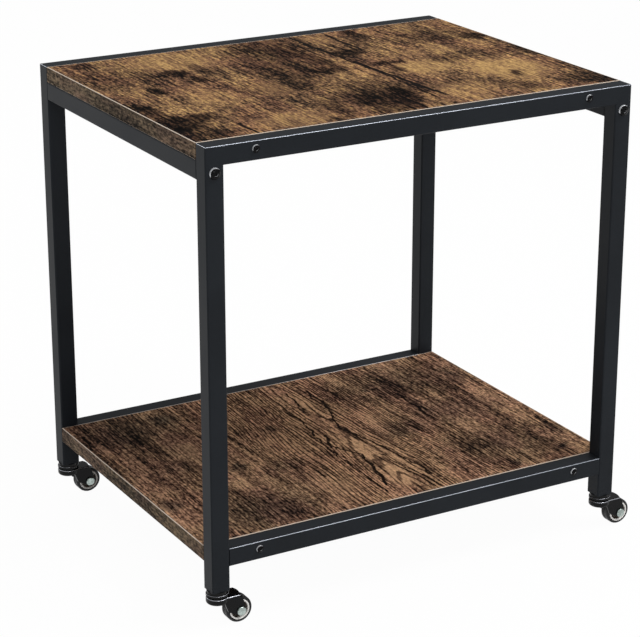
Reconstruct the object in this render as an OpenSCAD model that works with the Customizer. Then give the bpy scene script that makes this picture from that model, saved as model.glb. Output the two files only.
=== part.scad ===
// Two-tier rolling stand: welded square-tube frames, two laminated boards, four swivel casters

/* [Stand] */
// Width over the outer faces of the legs
stand_w = 450; // [320:5:700]
// Depth over the outer faces of the legs
stand_d = 355; // [260:5:600]
// Height of the top surface above the floor
stand_h = 457; // [360:1:800]
// Free height under the lower rails
floor_gap = 60.5; // [56:0.5:120]

/* [Tube] */
// Outer side of the square tube
tube = 18; // [17:0.5:25]
// Wall of the tube
tube_wall = 1.2; // [0.9:0.1:2]
// Outer corner radius of the tube
tube_corner = 1.6; // [1.2:0.1:2]

/* [Boards] */
// Thickness of the top board and of the lower shelf
board_t = 15; // [12:0.5:20]
// Thickness of the banding round the edges of the boards
band_t = 1; // [0.4:0.1:2]
// Radius along the visible long corners of the banding
band_round = 0.5; // [0.2:0.1:0.8]

/* [Frame bolts] */
// Shank diameter of the side rail bolts
bolt_d = 6; // [5:0.5:8]
// Shank length of the side rail bolts
bolt_l = 30; // [27:1:40]
// Head diameter of the side rail bolts
bolt_head_d = 10.6; // [9:0.1:13]
// Head height of the side rail bolts
bolt_head_h = 3.2; // [2.4:0.1:4]
// Hex key size of the side rail bolts
bolt_key = 4; // [3:0.5:5]
// Hole clearance on the diameter where a screw or bolt passes a tube wall
pass_clear = 0.5; // [0.3:0.1:1]
// Thickness of the threaded plates in the side rail ends
plate_t = 3; // [2:0.5:5]
// Diameter of the weld nut behind each plate
nut_d = 10; // [9:0.5:12]
// Length of the weld nut behind each plate
nut_l = 5; // [3:0.5:8]

/* [Board screws] */
// Shank diameter of the board screws
screw_d = 4; // [3:0.5:5]
// How far the board screws go into a board
screw_bite = 18; // [12:1:40]
// Head diameter of the board screws
screw_head_d = 7.4; // [6:0.1:9]
// Head height of the board screws
screw_head_h = 2.2; // [1.6:0.1:3]
// Hex key size of the board screws
screw_key = 2.5; // [2:0.5:3]
// Distance from the outer face of a leg to the board screws
screw_inset = 49; // [35:1:100]

/* [Caster] */
// Height from the floor to the bottom of the legs
caster_h = 36.5; // [35:0.5:40]
// Wheel diameter
wheel_d = 26; // [22:0.5:27]
// Width of the tyre tread
tyre_w = 12; // [9:0.5:13]
// Thickness of the tyre rubber
tyre_t = 2.6; // [2:0.1:3.5]
// Shoulder radius of the tyre
tyre_round = 2; // [1:0.1:2]
// Radial width of the pale rim ring
ring_w = 2.1; // [1.5:0.1:2.4]
// Depth that each rim ring takes of the rim
ring_t = 2; // [1:0.1:3]
// Thickness of the web between hub and rim
web_t = 4; // [3:0.5:6]
// Outer diameter of the hub
hub_d = 9; // [8:0.5:10]
// Horizontal distance from the swivel axis to the axle
trail = 20; // [18:0.5:24]
// Axle diameter
axle_d = 5; // [4:0.5:6]
// Diameter of the axle heads
axle_head_d = 8.8; // [7.5:0.1:9.5]
// Height of the axle heads
axle_head_h = 1.9; // [1.2:0.1:2.4]
// Outer width of the fork over the cheeks
fork_w = 18; // [17:0.5:20]
// Sheet thickness of the fork
fork_t = 1.5; // [1:0.1:1.8]
// Outer radius of the swivel crown
crown_r = 10.7; // [10.2:0.1:12]
// Height of the crown skirt
crown_h = 6.5; // [4.5:0.1:6.5]
// Height from the bottom of the legs to the top plate of the fork
swivel_h = 6.8; // [6.5:0.1:8]
// Radius of the fork around the axle
boss_r = 5; // [5:0.1:6.5]
// Reach of the hood from the swivel axis
hood_reach = 21; // [17:0.5:22]
// Rise of the arched hood above its cheeks
hood_rise = 0.6; // [0.3:0.1:1.5]
// Thread diameter of the stem
stem_d = 8; // [6:0.5:8]
// Length of the stem inside the leg
stem_l = 18; // [12:1:30]
// Diameter of the swivel balls
ball_d = 2.8; // [2.4:0.1:3]
// Number of balls in a swivel
ball_n = 12; // [8:1:13]
// Depth of the threaded insert in the leg
insert_l = 22; // [18:1:40]

/* [Fits] */
// Radial clearance of the axle and of the stem in what turns on them
run_clear = 0.06; // [0.03:0.01:0.1]
// Clearance of what is pressed in or screwed in
press_clear = 0.05; // [0.02:0.01:0.1]
// Clearance above the balls and below the swivel
swivel_clear = 0.3; // [0.2:0.05:0.5]
// Radial gap between the tyre and what it is moulded round
tyre_clear = 0.15; // [0.1:0.05:0.3]

/* [Hidden] */
$fn = 48;
steel = "#26292c";
pin_steel = "#b9bfc4";
black_oxide = "#161719";
plate_steel = "#8d9296";
laminate = "#6b4a30";
banding = "#5b4a3b";
rubber = "#1b1b1c";
pale_ring = "#e4e2dd";
dark_nylon = "#3a3835";

// The casters trail to the right, so the frame stands left of the middle of the whole
wheel_r = wheel_d / 2;
frame_x = -(trail + wheel_r - crown_r) / 2;
half_w = stand_w / 2;
half_d = stand_d / 2;
leg_x = half_w - tube / 2;
leg_y = half_d - tube / 2;
sides = [-1, 1];
span_x = stand_w - 2 * tube;
span_y = stand_d - 2 * tube;
core_w = stand_w - 2 * band_t;
core_d = span_y - 2 * band_t;
bore_side = tube - 2 * tube_wall;
plug_side = bore_side - 2 * press_clear;
inner_corner = max(tube_corner - tube_wall, 0.2);
ground_inset = 0.94 * tube_corner;
eps = 0.01;
head_flat = 0.7;
head_edge = 0.2;
pin_bevel = 0.6;

// Heights of what lies on the legs
shelf_top = floor_gap + tube;
top_rail_z = stand_h - tube / 2;
lower_rail_z = floor_gap + tube / 2;
side_rail_z = stand_h - board_t - tube / 2;
top_screw_z = stand_h - board_t / 2;
shelf_screw_z = shelf_top - board_t / 2;
screw_x = half_w - screw_inset;
screw_l = tube + screw_bite;

// Swivel heights, measured from the floor
plate_z = caster_h - swivel_h;
skirt_z = plate_z - crown_h;
skirt_roll = 2.4;
hood_step = 0.3;
hood_z = plate_z - hood_step;
cap_t = 1.6;
cap_skirt = 1.4;
cap_under = caster_h - cap_t;
race_z = cap_under - swivel_clear - ball_d;
race_gap = 0.4;
cap_lap = 0.5;
cap_rim = race_z - cap_lap;
cap_flange = 2.2;
cap_neck = 0.8;
cap_top_r = crown_r - cap_neck;
cap_bore_r = crown_r - cap_skirt;
race_r = cap_bore_r - race_gap;
ball_ring_r = (stem_d / 2 + race_r) / 2;
rivet_r = stem_d / 2 + 2;
rivet_t = 1.7;
rivet_bevel = 0.6;
stem_bevel = 1;
cap_round = 0.6;

// Wheel and fork, measured from the middle plane of the wheel
cheek_out = fork_w / 2;
cheek_in = cheek_out - fork_t;
rim_r = wheel_r - tyre_t;
ring_in = rim_r - ring_w;
tyre_half = tyre_w / 2;
ring_proud = 0.3;
hub_play = 0.4;
ring_face = tyre_half + ring_proud;
rim_half = ring_face - ring_t;
hub_half = cheek_in - hub_play;
hood_round = 1.4;
hood_crest = hood_z + hood_rise;
arch_r = (cheek_out * cheek_out + hood_rise * hood_rise) / (2 * hood_rise);
arch_z = hood_crest - arch_r;
inner_round = 0.4;
brow_r = 22;
knee_rise = 1.5;
heel_back = 4;
knee = [trail - wheel_r, wheel_r + knee_rise];
heel = [trail - wheel_r - heel_back, skirt_z + fork_t];

casters = [
    ["front_left", [-1, -1]], ["front_right", [1, -1]],
    ["rear_left", [-1, 1]], ["rear_right", [1, 1]]
];

// Where the line from a point touches a circle: side 1 turns left of the line to the centre, -1 right
function touch(p, c, r, side) =
    let (v = c - p)
    let (reach = norm(v))
    let (turn = side * asin(r / reach))
    let (run = sqrt(reach * reach - r * r))
    let (heading = atan2(v[1], v[0]) + turn)
    p + run * [cos(heading), sin(heading)];

// Square with round corners
module rounded_square(side, r) {
    square([side, side - 2 * r], center = true);
    square([side - 2 * r, side], center = true);
    for (x = sides)
        for (y = sides)
            translate([x * (side / 2 - r), y * (side / 2 - r)])
                circle(r);
}

// Square tube along Z from the origin
module square_tube(l) {
    linear_extrude(l)
        difference() {
            rounded_square(tube, tube_corner);
            rounded_square(bore_side, inner_corner);
        }
}

// Everything that stands on the frame's own middle
module on_frame() {
    translate([frame_x, 0, 0])
        children();
}

// What a left corner's mitre takes off: the rail's place above it from a leg, the leg's below from a rail
module mitre_wedge(above) {
    reach = above ? tube : -tube;
    translate([0, tube, 0])
        rotate([90, 0, 0])
            linear_extrude(2 * tube)
                polygon([[-tube, tube], [tube, -tube], [reach, reach]]);
}

// What grinding takes off the outer corner of a left mitre, seen from the middle of the corner
module ground_corner() {
    centre = tube / 2 - ground_inset;
    translate([0, tube, 0])
        rotate([90, 0, 0])
            linear_extrude(2 * tube)
                difference() {
                    square_from([-tube, centre], [-centre, tube]);
                    translate([-centre, centre])
                        circle(tube_corner);
                }
}

// Leg with its mitred top and the two holes for the side rail bolt
module leg(sx, sy) {
    leg_l = stand_h - caster_h;
    color(steel)
        on_frame()
            translate([sx * leg_x, sy * leg_y, 0])
                mirror([sx > 0 ? 1 : 0, 0, 0])
                    difference() {
                        translate([0, 0, caster_h])
                            square_tube(leg_l);
                        translate([0, 0, top_rail_z]) {
                            mitre_wedge(true);
                            ground_corner();
                        }
                        translate([0, tube, side_rail_z])
                            rotate([90, 0, 0])
                                cylinder(d = bolt_d + pass_clear, h = 2 * tube);
                    }
}

// Screw holes through both walls of a rail, with the rail along X at its own height
module rail_screw_holes(z) {
    for (x = sides)
        translate([x * screw_x, tube, z])
            rotate([90, 0, 0])
                cylinder(d = screw_d + pass_clear, h = 2 * tube);
}

// Tube along X between two ends
module tube_x(l) {
    translate([-l / 2, 0, 0])
        rotate([0, 90, 0])
            square_tube(l);
}

// Top rail of the front or rear frame, mitred at both ends
module top_rail(sy) {
    color(steel)
        on_frame()
            translate([0, sy * leg_y, 0])
                difference() {
                    translate([0, 0, top_rail_z])
                        tube_x(stand_w);
                    for (sx = sides)
                        mirror([sx > 0 ? 1 : 0, 0, 0])
                            translate([-leg_x, 0, top_rail_z]) {
                                mitre_wedge(false);
                                ground_corner();
                            }
                    rail_screw_holes(top_screw_z);
                }
}

// Lower rail of the front or rear frame, butted between the legs
module lower_rail(sy) {
    color(steel)
        on_frame()
            translate([0, sy * leg_y, 0])
                difference() {
                    translate([0, 0, lower_rail_z])
                        tube_x(span_x);
                    rail_screw_holes(shelf_screw_z);
                }
}

// Side rail under the top board, from front leg to rear leg
module side_rail(sx) {
    color(steel)
        on_frame()
            translate([sx * leg_x, span_y / 2, side_rail_z])
                rotate([90, 0, 0])
                    square_tube(span_y);
}

// Pilot holes for the four screws of a board
module pilot_holes(top) {
    for (x = sides)
        for (y = sides)
            translate([x * screw_x, y * (span_y / 2 - screw_bite), top - board_t / 2])
                rotate([-90 * y, 0, 0])
                    cylinder(d = screw_d + 2 * press_clear, h = screw_bite + 1);
}

// Board core inside its edge bands
module board_core(top) {
    difference() {
        translate([-core_w / 2, -core_d / 2, top - board_t])
            cube([core_w, core_d, board_t]);
        pilot_holes(top);
    }
}

// One edge band along Z, its glued face on X = 0 and its long outer corners rounded
module edge_band(l) {
    linear_extrude(l) {
        square([band_t - band_round, board_t]);
        translate([0, band_round])
            square([band_t, board_t - 2 * band_round]);
        for (y = [band_round, board_t - band_round])
            translate([band_t - band_round, y])
                circle(band_round);
    }
}

// The four edge bands of a board, the left and right ones over the ends of the others
module edge_bands(top) {
    for (s = sides)
        mirror([s < 0 ? 1 : 0, 0, 0])
            translate([core_w / 2, span_y / 2, top - board_t])
                rotate([90, 0, 0])
                    edge_band(span_y);
    difference() {
        for (s = sides)
            mirror([0, s < 0 ? 1 : 0, 0])
                translate([-core_w / 2, core_d / 2, top - board_t])
                    rotate([90, 0, 90])
                        edge_band(core_w);
        pilot_holes(top);
    }
}

// Threaded plate and weld nut that close each end of the side rails
module end_plate() {
    difference() {
        union() {
            linear_extrude(plate_t)
                rounded_square(plug_side, inner_corner);
            cylinder(d = nut_d, h = plate_t + nut_l);
        }
        translate([0, 0, -1])
            cylinder(d = bolt_d + 2 * press_clear, h = plate_t + nut_l + 2);
    }
}

// Domed head with a hex socket, standing on Z = 0 with the shank below
module socket_screw(d, l, head_d, head_h, key) {
    head_r = head_d / 2;
    flat_r = key * head_flat;
    edge_h = head_h * head_edge;
    rise = head_h - edge_h;
    dome_z = edge_h - (head_r * head_r - flat_r * flat_r - rise * rise) / (2 * rise);
    dome_r = norm([head_r, edge_h - dome_z]);
    color(black_oxide)
        difference() {
            union() {
                rotate_extrude()
                    intersection() {
                        square([head_r, head_h]);
                        translate([0, dome_z])
                            circle(dome_r, $fn = 180);
                    }
                translate([0, 0, -l])
                    cylinder(d = d, h = l + edge_h);
            }
            translate([0, 0, head_h / 2])
                cylinder(d = key / cos(30), h = head_h, $fn = 6);
        }
}

// Plug pressed in the bottom of a leg, threaded for the caster stem
module leg_insert() {
    difference() {
        linear_extrude(insert_l)
            rounded_square(plug_side, inner_corner);
        translate([0, 0, -1])
            cylinder(d = stem_d + 2 * press_clear, h = insert_l + 2);
    }
}

// Stem with its thread in the leg, its neck through the swivel and its riveted lower end
module stem() {
    rivet_top = race_z - fork_t - swivel_clear;
    rivet_end = rivet_top - rivet_t;
    stem_top = caster_h + stem_l;
    rotate_extrude()
        polygon([
            [0, rivet_end], [rivet_r - rivet_bevel, rivet_end], [rivet_r, rivet_end + rivet_bevel],
            [rivet_r, rivet_top], [stem_d / 2, rivet_top], [stem_d / 2, stem_top - stem_bevel],
            [stem_d / 2 - stem_bevel, stem_top], [0, stem_top]
        ]);
}

// Pressed cap over the balls, fixed under the leg
module swivel_cap() {
    rotate_extrude()
        difference() {
            union() {
                flange_z = cap_rim + cap_flange;
                square_from([0, cap_rim], [crown_r, flange_z - cap_round]);
                square_from([0, cap_rim], [crown_r - cap_round, flange_z]);
                translate([crown_r - cap_round, flange_z - cap_round])
                    circle(cap_round);
                square_from([0, cap_rim], [cap_top_r, caster_h]);
            }
            square_from([-eps, cap_rim - 1], [cap_bore_r, race_z + race_gap]);
            square_from([-eps, cap_rim - 1], [cap_top_r - cap_skirt, cap_under]);
            square_from([-eps, cap_rim - 1], [stem_d / 2 + press_clear, caster_h + 1]);
        }
}

// Outside of the swivel crown: raised ball race, shoulder and a skirt rolled in at its foot
module crown_outside() {
    rotate_extrude() {
        square_from([0, plate_z - hood_round], [race_r, race_z]);
        square_from([0, skirt_z + skirt_roll], [crown_r, plate_z - hood_round]);
        square_from([0, skirt_z], [crown_r - skirt_roll, plate_z]);
        square_from([0, skirt_z + skirt_roll], [crown_r - hood_round, plate_z]);
        translate([crown_r - hood_round, plate_z - hood_round])
            circle(hood_round);
        translate([crown_r - skirt_roll, skirt_z + skirt_roll])
            circle(skirt_roll);
    }
}

// Hollow of the crown, from its open foot up to the hole for the stem
module crown_hollow() {
    lip_r = crown_r - skirt_roll;
    wall_r = crown_r - fork_t;
    under_race_r = race_r - fork_t;
    neck_r = stem_d / 2 + run_clear;
    rotate_extrude()
        polygon([
            [0, 0], [lip_r, 0], [lip_r, skirt_z + fork_t],
            [wall_r, skirt_z + fork_t], [wall_r, plate_z - fork_t],
            [under_race_r, plate_z - fork_t], [under_race_r, race_z - fork_t],
            [neck_r, race_z - fork_t], [neck_r, race_z + fork_t], [0, race_z + fork_t]
        ]);
}

// Rectangle between two corners
module square_from(low, high) {
    translate(low)
        square(high - low);
}

// Side view of the hood and its cheeks, X along the trail and Y up
module cheek_outline() {
    axle = [trail, wheel_r];
    brow = [hood_reach, hood_crest];
    polygon([
        [0, hood_crest], brow,
        touch(brow, axle, boss_r, 1), axle, touch(knee, axle, boss_r, -1),
        knee, heel, [0, heel[1]]
    ]);
    translate(axle)
        circle(boss_r);
}

// End view of the hood: two cheeks under an arch of radius arc, with the long corners rounded
module hood_section(half, arc, r) {
    corner_y = half - r;
    corner_z = arch_z + sqrt((arc - r) * (arc - r) - corner_y * corner_y);
    touch_y = corner_y * arc / (arc - r);
    square_from([-half, 0], [half, corner_z]);
    for (y = sides)
        translate([y * corner_y, corner_z])
            circle(r);
    intersection() {
        translate([0, arch_z])
            circle(arc, $fn = 180);
        square_from([-touch_y, 0], [touch_y, hood_crest + 1]);
    }
}

// Hood and cheeks before they are hollowed
module hood_outside() {
    intersection() {
        translate([0, fork_w, 0])
            rotate([90, 0, 0])
                linear_extrude(2 * fork_w)
                    cheek_outline();
        rotate([90, 0, 90])
            linear_extrude(2 * (trail + wheel_r))
                hood_section(cheek_out, arch_r, hood_round);
    }
}

// Pressed fork: crown, hood with a bowed brow, two cheeks and the axle holes
module fork() {
    color(steel)
        difference() {
            union() {
                crown_outside();
                hood_outside();
            }
            crown_hollow();
            rotate([90, 0, 90])
                linear_extrude(2 * (trail + wheel_r))
                    hood_section(cheek_in, arch_r - fork_t, inner_round);
            translate([trail, fork_w, wheel_r])
                rotate([90, 0, 0])
                    cylinder(d = axle_d + 2 * press_clear, h = 2 * fork_w);
            brow_cut();
        }
}

// Bows the free edge of the hood between its cheeks
module brow_cut() {
    translate([0, 0, hood_z - fork_t - inner_round])
        linear_extrude(hood_rise + 2 * fork_t)
            difference() {
                translate([hood_reach - brow_r / 4, -fork_w])
                    square([brow_r / 2, 2 * fork_w]);
                translate([hood_reach - brow_r, 0])
                    circle(brow_r);
            }
}

// Balls of the swivel, resting on the race of the fork
module swivel_balls() {
    color(pin_steel)
        for (i = [0 : ball_n - 1])
            rotate([0, 0, i * 360 / ball_n])
                translate([ball_ring_r, 0, race_z + ball_d / 2])
                    sphere(d = ball_d);
}

// Axle pin with a chamfered head outside each cheek, along Y through the origin
module axle_pin() {
    color(pin_steel)
        rotate([90, 0, 0]) {
            translate([0, 0, -cheek_out])
                cylinder(d = axle_d, h = fork_w);
            for (s = sides)
                mirror([0, 0, s < 0 ? 1 : 0])
                    translate([0, 0, cheek_out])
                        rotate_extrude()
                            polygon([
                                [0, 0], [axle_head_d / 2, 0], [axle_head_d / 2, axle_head_h - pin_bevel],
                                [axle_head_d / 2 - pin_bevel, axle_head_h], [0, axle_head_h]
                            ]);
        }
}

// Hub, web and rim of a wheel, turned on the axle along Y
module wheel_core() {
    color(dark_nylon)
        rotate([90, 0, 0])
            rotate_extrude() {
                square_from([axle_d / 2 + run_clear, -hub_half], [hub_d / 2, hub_half]);
                square_from([hub_d / 2 - 1, -web_t / 2], [rim_r - 1, web_t / 2]);
                square_from([ring_in, -rim_half], [rim_r - tyre_clear, rim_half]);
            }
}

// The pale rings pressed on both faces of the rim, with a rounded face
module rim_rings() {
    face_r = (ring_w - tyre_clear) / 2;
    color(pale_ring)
        rotate([90, 0, 0])
            for (s = sides)
                mirror([0, 0, s < 0 ? 1 : 0])
                    rotate_extrude() {
                        square_from([ring_in, rim_half], [ring_in + 2 * face_r, ring_face - face_r]);
                        intersection() {
                            translate([ring_in + face_r, ring_face - face_r])
                                circle(face_r);
                            square_from([ring_in, rim_half], [rim_r, ring_face]);
                        }
                    }
}

// Tyre with round shoulders
module tyre() {
    color(rubber)
        rotate([90, 0, 0])
            rotate_extrude()
                intersection() {
                    square_from([rim_r, -tyre_half], [wheel_r, tyre_half]);
                    union() {
                        square_from([rim_r, -tyre_half], [wheel_r - tyre_round, tyre_half]);
                        square_from([rim_r, -tyre_half + tyre_round], [wheel_r, tyre_half - tyre_round]);
                        for (s = sides)
                            translate([wheel_r - tyre_round, s * (tyre_half - tyre_round)])
                                circle(tyre_round);
                    }
                }
}

// Places what belongs to one caster under its leg
module at_leg(corner) {
    on_frame()
        translate([corner[0] * leg_x, corner[1] * leg_y, 0])
            children();
}

// Places what turns on a caster's axle
module at_axle(corner) {
    at_leg(corner)
        translate([trail, 0, wheel_r])
            children();
}

module front_left_leg() { leg(-1, -1); }
module front_right_leg() { leg(1, -1); }
module rear_left_leg() { leg(-1, 1); }
module rear_right_leg() { leg(1, 1); }
module front_top_rail() { top_rail(-1); }
module rear_top_rail() { top_rail(1); }
module front_lower_rail() { lower_rail(-1); }
module rear_lower_rail() { lower_rail(1); }
module left_side_rail() { side_rail(-1); }
module right_side_rail() { side_rail(1); }

module top_board() {
    color(laminate)
        on_frame()
            board_core(stand_h);
}

module lower_shelf() {
    color(laminate)
        on_frame()
            board_core(shelf_top);
}

module top_board_edge_bands() {
    color(banding)
        on_frame()
            edge_bands(stand_h);
}

module lower_shelf_edge_bands() {
    color(banding)
        on_frame()
            edge_bands(shelf_top);
}

module side_rail_end_plates() {
    color(plate_steel)
        on_frame()
            for (x = sides)
                for (y = sides)
                    translate([x * leg_x, y * span_y / 2, side_rail_z])
                        rotate([90 * y, 0, 0])
                            end_plate();
}

module side_rail_bolts() {
    on_frame()
        for (x = sides)
            for (y = sides)
                translate([x * leg_x, y * half_d, side_rail_z])
                    rotate([-90 * y, 0, 0])
                        socket_screw(bolt_d, bolt_l, bolt_head_d, bolt_head_h, bolt_key);
}

// The four screws that hold one board in the rails of both frames
module board_screws(z) {
    on_frame()
        for (x = sides)
            for (y = sides)
                translate([x * screw_x, y * half_d, z])
                    rotate([-90 * y, 0, 0])
                        socket_screw(screw_d, screw_l, screw_head_d, screw_head_h, screw_key);
}

module top_board_screws() { board_screws(top_screw_z); }
module lower_shelf_screws() { board_screws(shelf_screw_z); }

module leg_inserts() {
    color(dark_nylon)
        for (c = casters)
            at_leg(c[1])
                translate([0, 0, caster_h])
                    leg_insert();
}

module caster_stems() {
    color(plate_steel)
        for (c = casters)
            at_leg(c[1])
                stem();
}

module caster_swivel_caps() {
    color(steel)
        for (c = casters)
            at_leg(c[1])
                swivel_cap();
}

front_left_leg();
front_right_leg();
rear_left_leg();
rear_right_leg();
front_top_rail();
rear_top_rail();
front_lower_rail();
rear_lower_rail();
left_side_rail();
right_side_rail();
top_board();
top_board_edge_bands();
lower_shelf();
lower_shelf_edge_bands();
side_rail_end_plates();
side_rail_bolts();
top_board_screws();
lower_shelf_screws();
leg_inserts();
caster_stems();
caster_swivel_caps();
for (c = casters) {
    at_leg(c[1]) fork();
    at_leg(c[1]) swivel_balls();
    at_axle(c[1]) axle_pin();
    at_axle(c[1]) wheel_core();
    at_axle(c[1]) rim_rings();
    at_axle(c[1]) tyre();
}
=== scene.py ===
import math

import bmesh
import bpy
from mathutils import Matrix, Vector


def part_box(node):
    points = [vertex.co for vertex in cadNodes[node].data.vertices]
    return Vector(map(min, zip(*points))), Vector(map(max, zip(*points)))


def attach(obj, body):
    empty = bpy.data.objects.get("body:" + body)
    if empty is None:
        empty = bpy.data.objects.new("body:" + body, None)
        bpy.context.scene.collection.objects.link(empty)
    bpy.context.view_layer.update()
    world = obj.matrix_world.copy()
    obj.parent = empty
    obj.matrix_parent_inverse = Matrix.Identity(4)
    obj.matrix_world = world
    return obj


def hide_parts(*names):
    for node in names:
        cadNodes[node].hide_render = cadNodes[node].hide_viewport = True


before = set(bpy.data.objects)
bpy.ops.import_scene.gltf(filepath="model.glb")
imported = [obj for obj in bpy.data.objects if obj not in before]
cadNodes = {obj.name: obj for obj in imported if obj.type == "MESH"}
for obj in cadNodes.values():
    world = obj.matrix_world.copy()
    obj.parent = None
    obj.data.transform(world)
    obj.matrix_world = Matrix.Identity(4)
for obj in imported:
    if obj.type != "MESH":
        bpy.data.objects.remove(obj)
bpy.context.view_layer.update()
scene = bpy.context.scene
corners = ("front_left", "front_right", "rear_left", "rear_right")
print("frame loaded:", len(cadNodes), "nodes")

# the camera stands where the photograph was taken from
cameraSetup = {
    "spot": (-1.05504, -1.80521, 0.95948),
    "pitch": 19.824,     # degrees below the horizon
    "yaw": 29.772,       # degrees to the right of +Y
    "lens": 125.28,
    "sensor": 36.0,
    "farClip": 400,
}


def placeCamera(setup):
    data = bpy.data.cameras.new("standCamera")
    data.lens = setup["lens"]
    data.sensor_width = setup["sensor"]
    data.clip_end = setup["farClip"]
    camera = bpy.data.objects.new("standCamera", data)
    camera.location = setup["spot"]
    camera.rotation_euler = (math.radians(90 - setup["pitch"]), 0, math.radians(-setup["yaw"]))
    scene.collection.objects.link(camera)
    scene.camera = camera


placeCamera(cameraSetup)
scene.view_settings.view_transform = "Standard"
print("camera placed")


mm = 0.001


# small helpers for node trees
def linear(red, green, blue):
    def channel(value):
        value /= 255
        return value / 12.92 if value <= 0.04045 else ((value + 0.055) / 1.055) ** 2.4
    return (channel(red), channel(green), channel(blue), 1)


def addNode(tree, kind, **settings):
    node = tree.nodes.new(kind)
    for name, value in settings.items():
        setattr(node, name, value)
    return node


def feed(tree, target, value):
    if isinstance(value, bpy.types.NodeSocket):
        tree.links.new(value, target)
    else:
        target.default_value = value


def calc(tree, operation, first, second=0.0, clamp=False):
    node = addNode(tree, "ShaderNodeMath", operation=operation, use_clamp=clamp)
    feed(tree, node.inputs[0], first)
    feed(tree, node.inputs[1], second)
    return node.outputs[0]


def scaled(tree, coord, size, shift=(0, 0, 0)):
    node = addNode(tree, "ShaderNodeMapping")
    feed(tree, node.inputs["Vector"], coord)
    node.inputs["Location"].default_value = shift
    node.inputs["Scale"].default_value = size
    return node.outputs[0]


def noise(tree, coord, detail, rough):
    node = addNode(tree, "ShaderNodeTexNoise")
    feed(tree, node.inputs["Vector"], coord)
    node.inputs["Scale"].default_value = 1
    node.inputs["Detail"].default_value = detail
    node.inputs["Roughness"].default_value = rough
    return node


# noise with its own count of cells per metre along x, y and z
def grain(tree, coord, cells, shift=(0, 0, 0), detail=2.0, rough=0.5, output="Fac"):
    return noise(tree, scaled(tree, coord, cells, shift), detail, rough).outputs[output]


def ranged(tree, value, low, high, toLow=0.0, toHigh=1.0, smooth=True):
    kind = "SMOOTHSTEP" if smooth else "LINEAR"
    node = addNode(tree, "ShaderNodeMapRange", interpolation_type=kind)
    feed(tree, node.inputs["Value"], value)
    feed(tree, node.inputs["From Min"], low)
    feed(tree, node.inputs["From Max"], high)
    feed(tree, node.inputs["To Min"], toLow)
    feed(tree, node.inputs["To Max"], toHigh)
    return node.outputs["Result"]


def mixed(tree, share, first, second, blend="MIX"):
    node = addNode(tree, "ShaderNodeMix", data_type="RGBA", blend_type=blend)
    feed(tree, node.inputs["Factor"], share)
    feed(tree, node.inputs[6], first)    # the colour sockets of a mix node
    feed(tree, node.inputs[7], second)
    return node.outputs[2]


def newGroup(name, inputs, outputs):
    group = bpy.data.node_groups.new(name, "ShaderNodeTree")
    for label, kind, value in inputs:
        socket = group.interface.new_socket(label, in_out="INPUT", socket_type=kind)
        if value is not None:
            socket.default_value = value
    for label, kind in outputs:
        group.interface.new_socket(label, in_out="OUTPUT", socket_type=kind)
    given = addNode(group, "NodeGroupInput").outputs
    out = addNode(group, "NodeGroupOutput").inputs
    return group, given, out


def useGroup(tree, group, **values):
    node = addNode(tree, "ShaderNodeGroup", node_tree=group)
    for label, value in values.items():
        feed(tree, node.inputs[label], value)
    return node.outputs


def newMaterial(name):
    material = bpy.data.materials.new(name)
    material.use_nodes = True
    tree = material.node_tree
    surface = tree.nodes["Principled BSDF"]
    coord = addNode(tree, "ShaderNodeTexCoord").outputs["Object"]
    return material, tree, surface, coord


def bump(tree, surface, height, depth):
    node = addNode(tree, "ShaderNodeBump")
    node.inputs["Strength"].default_value = 1
    node.inputs["Distance"].default_value = depth
    feed(tree, node.inputs["Height"], height)
    tree.links.new(node.outputs["Normal"], surface.inputs["Normal"])


vectorKind, floatKind, colorKind = "NodeSocketVector", "NodeSocketFloat", "NodeSocketColor"


# a sprayed or moulded skin: slow shade drift, fine specks and the peel of the coat
skinShape = {
    "drift": {"cells": (14, 14, 14), "detail": 3}, "driftRange": (0.3, 0.7), "driftShare": 0.25,
    "specks": {"cells": (2600, 2600, 2600), "detail": 1}, "speckRange": (0.5, 0.75),
    "peel": {"cells": (900, 900, 900), "detail": 2, "rough": 0.4},
}


def makeSkinGroup(shape):
    group, given, out = newGroup(
        "coatSkin",
        [("Coord", vectorKind, None), ("Tone", colorKind, (0.02, 0.02, 0.02, 1)),
         ("Speck", colorKind, (0.05, 0.05, 0.05, 1)), ("Speck Share", floatKind, 0.2),
         ("Gloss Low", floatKind, 0.4), ("Gloss High", floatKind, 0.5)],
        [("Color", colorKind), ("Roughness", floatKind), ("Height", floatKind)])
    drift = grain(group, given["Coord"], **shape["drift"])
    specks = ranged(group, grain(group, given["Coord"], **shape["specks"]), *shape["speckRange"])
    shade = ranged(group, drift, *shape["driftRange"], 0.0, shape["driftShare"])
    tone = mixed(group, shade, given["Tone"], given["Speck"])
    speckMask = calc(group, "MULTIPLY", specks, given["Speck Share"])
    feed(group, out["Color"], mixed(group, speckMask, tone, given["Speck"]))
    gloss = ranged(group, drift, *shape["driftRange"],
                   given["Gloss Low"], given["Gloss High"], smooth=False)
    feed(group, out["Roughness"], gloss)
    feed(group, out["Height"], grain(group, given["Coord"], **shape["peel"]))
    return group


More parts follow.
